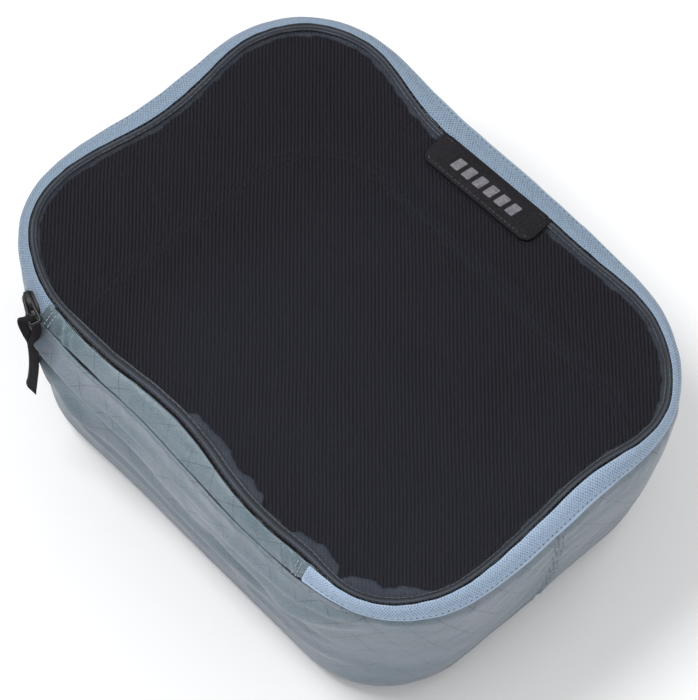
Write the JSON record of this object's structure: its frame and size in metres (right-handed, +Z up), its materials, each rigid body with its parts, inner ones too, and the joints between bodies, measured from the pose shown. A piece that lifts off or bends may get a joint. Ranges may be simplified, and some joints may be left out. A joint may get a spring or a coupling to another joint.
{
  "type": "packing cube",
  "caption": "Soft rectangular travel packing cube: ripstop tub with a padded knit rim, sheer mesh top, front zip under a flap and a webbing zip pull.",
  "frame": {"origin": "middle of the base, on the surface the cube stands on", "axes": "+Z up, +X along the long side and the zip towards its open end, -Y towards the zip side"},
  "size_m": [0.248, 0.1885, 0.0875],
  "materials": {
    "ripstop": "soft grey-blue nylon ripstop with a fine diamond grid",
    "knit_band": "light blue moss-stitch knit",
    "sheer_mesh": "black sheer warp-knit mesh",
    "binding_tape": "dark ribbed hem tape",
    "overlock": "slate overlocked seam allowance",
    "zip_tape": "black woven zip tape",
    "zip_coil": "black nylon coil",
    "black_metal": "gloss black painted zinc",
    "pull_webbing": "narrow black webbing",
    "patch_skin": "black coated synthetic leather",
    "patch_print": null,
    "thread": "dark sewing thread"
  },
  "bodies": {
    "shell": {"bottom_panel": "ripstop", "front_wall": "ripstop", "rear_wall": "ripstop", "base_seam_binding": "overlock", "side_seam_binding_left": "overlock", "side_seam_binding_right": "overlock", "rim_band": "knit_band", "rim_topstitch": "thread", "mesh_panel": "sheer_mesh", "mesh_hem_tape": "binding_tape", "rim_seam_allowance": "overlock", "wall_top_lip": "ripstop", "zip_tape_lower": "zip_tape", "zip_coil_lower": "zip_coil", "zip_stop_left": "black_metal", "zip_stop_right": "black_metal", "label_patch": "patch_skin", "patch_stitching": "thread", "patch_mark": "patch_print"},
    "top_flap": {"zip_flap": "ripstop", "zip_tape_upper": "zip_tape", "zip_coil_upper": "zip_coil", "mesh_front_leaf": "sheer_mesh", "flap_hem_tape": "binding_tape", "flap_seam_allowance": "overlock"},
    "slider": {"slider_body": "black_metal", "slider_lower_plate": "black_metal", "slider_bail": "black_metal"},
    "puller": {"puller_frame": "black_metal"},
    "pull_webbing": {"pull_tape": "pull_webbing", "pull_tape_bartack": "thread"}
  },
  "joints": [
    {"name": "flap_lift", "type": "hinge", "parent": "shell", "child": "top_flap", "pos_m": [0, 0, 0.0846], "axis": [-1, 0, 0], "range_deg": [0, 30]},
    {"name": "zip_run", "type": "slide", "parent": "shell", "child": "slider", "axis": [1, 0, 0], "range_m": [0, 0.171]},
    {"name": "puller_swing", "type": "hinge", "parent": "slider", "child": "puller", "pos_m": [-0.088, -0.0895, 0.0846], "axis": [0, -1, 0], "range_deg": [0, 165]},
    {"name": "pull_tape_swing", "type": "hinge", "parent": "puller", "child": "pull_webbing", "pos_m": [-0.0811, -0.09198, 0.0846], "axis": [-1, 0, 0], "range_deg": [0, 110]}
  ]
}
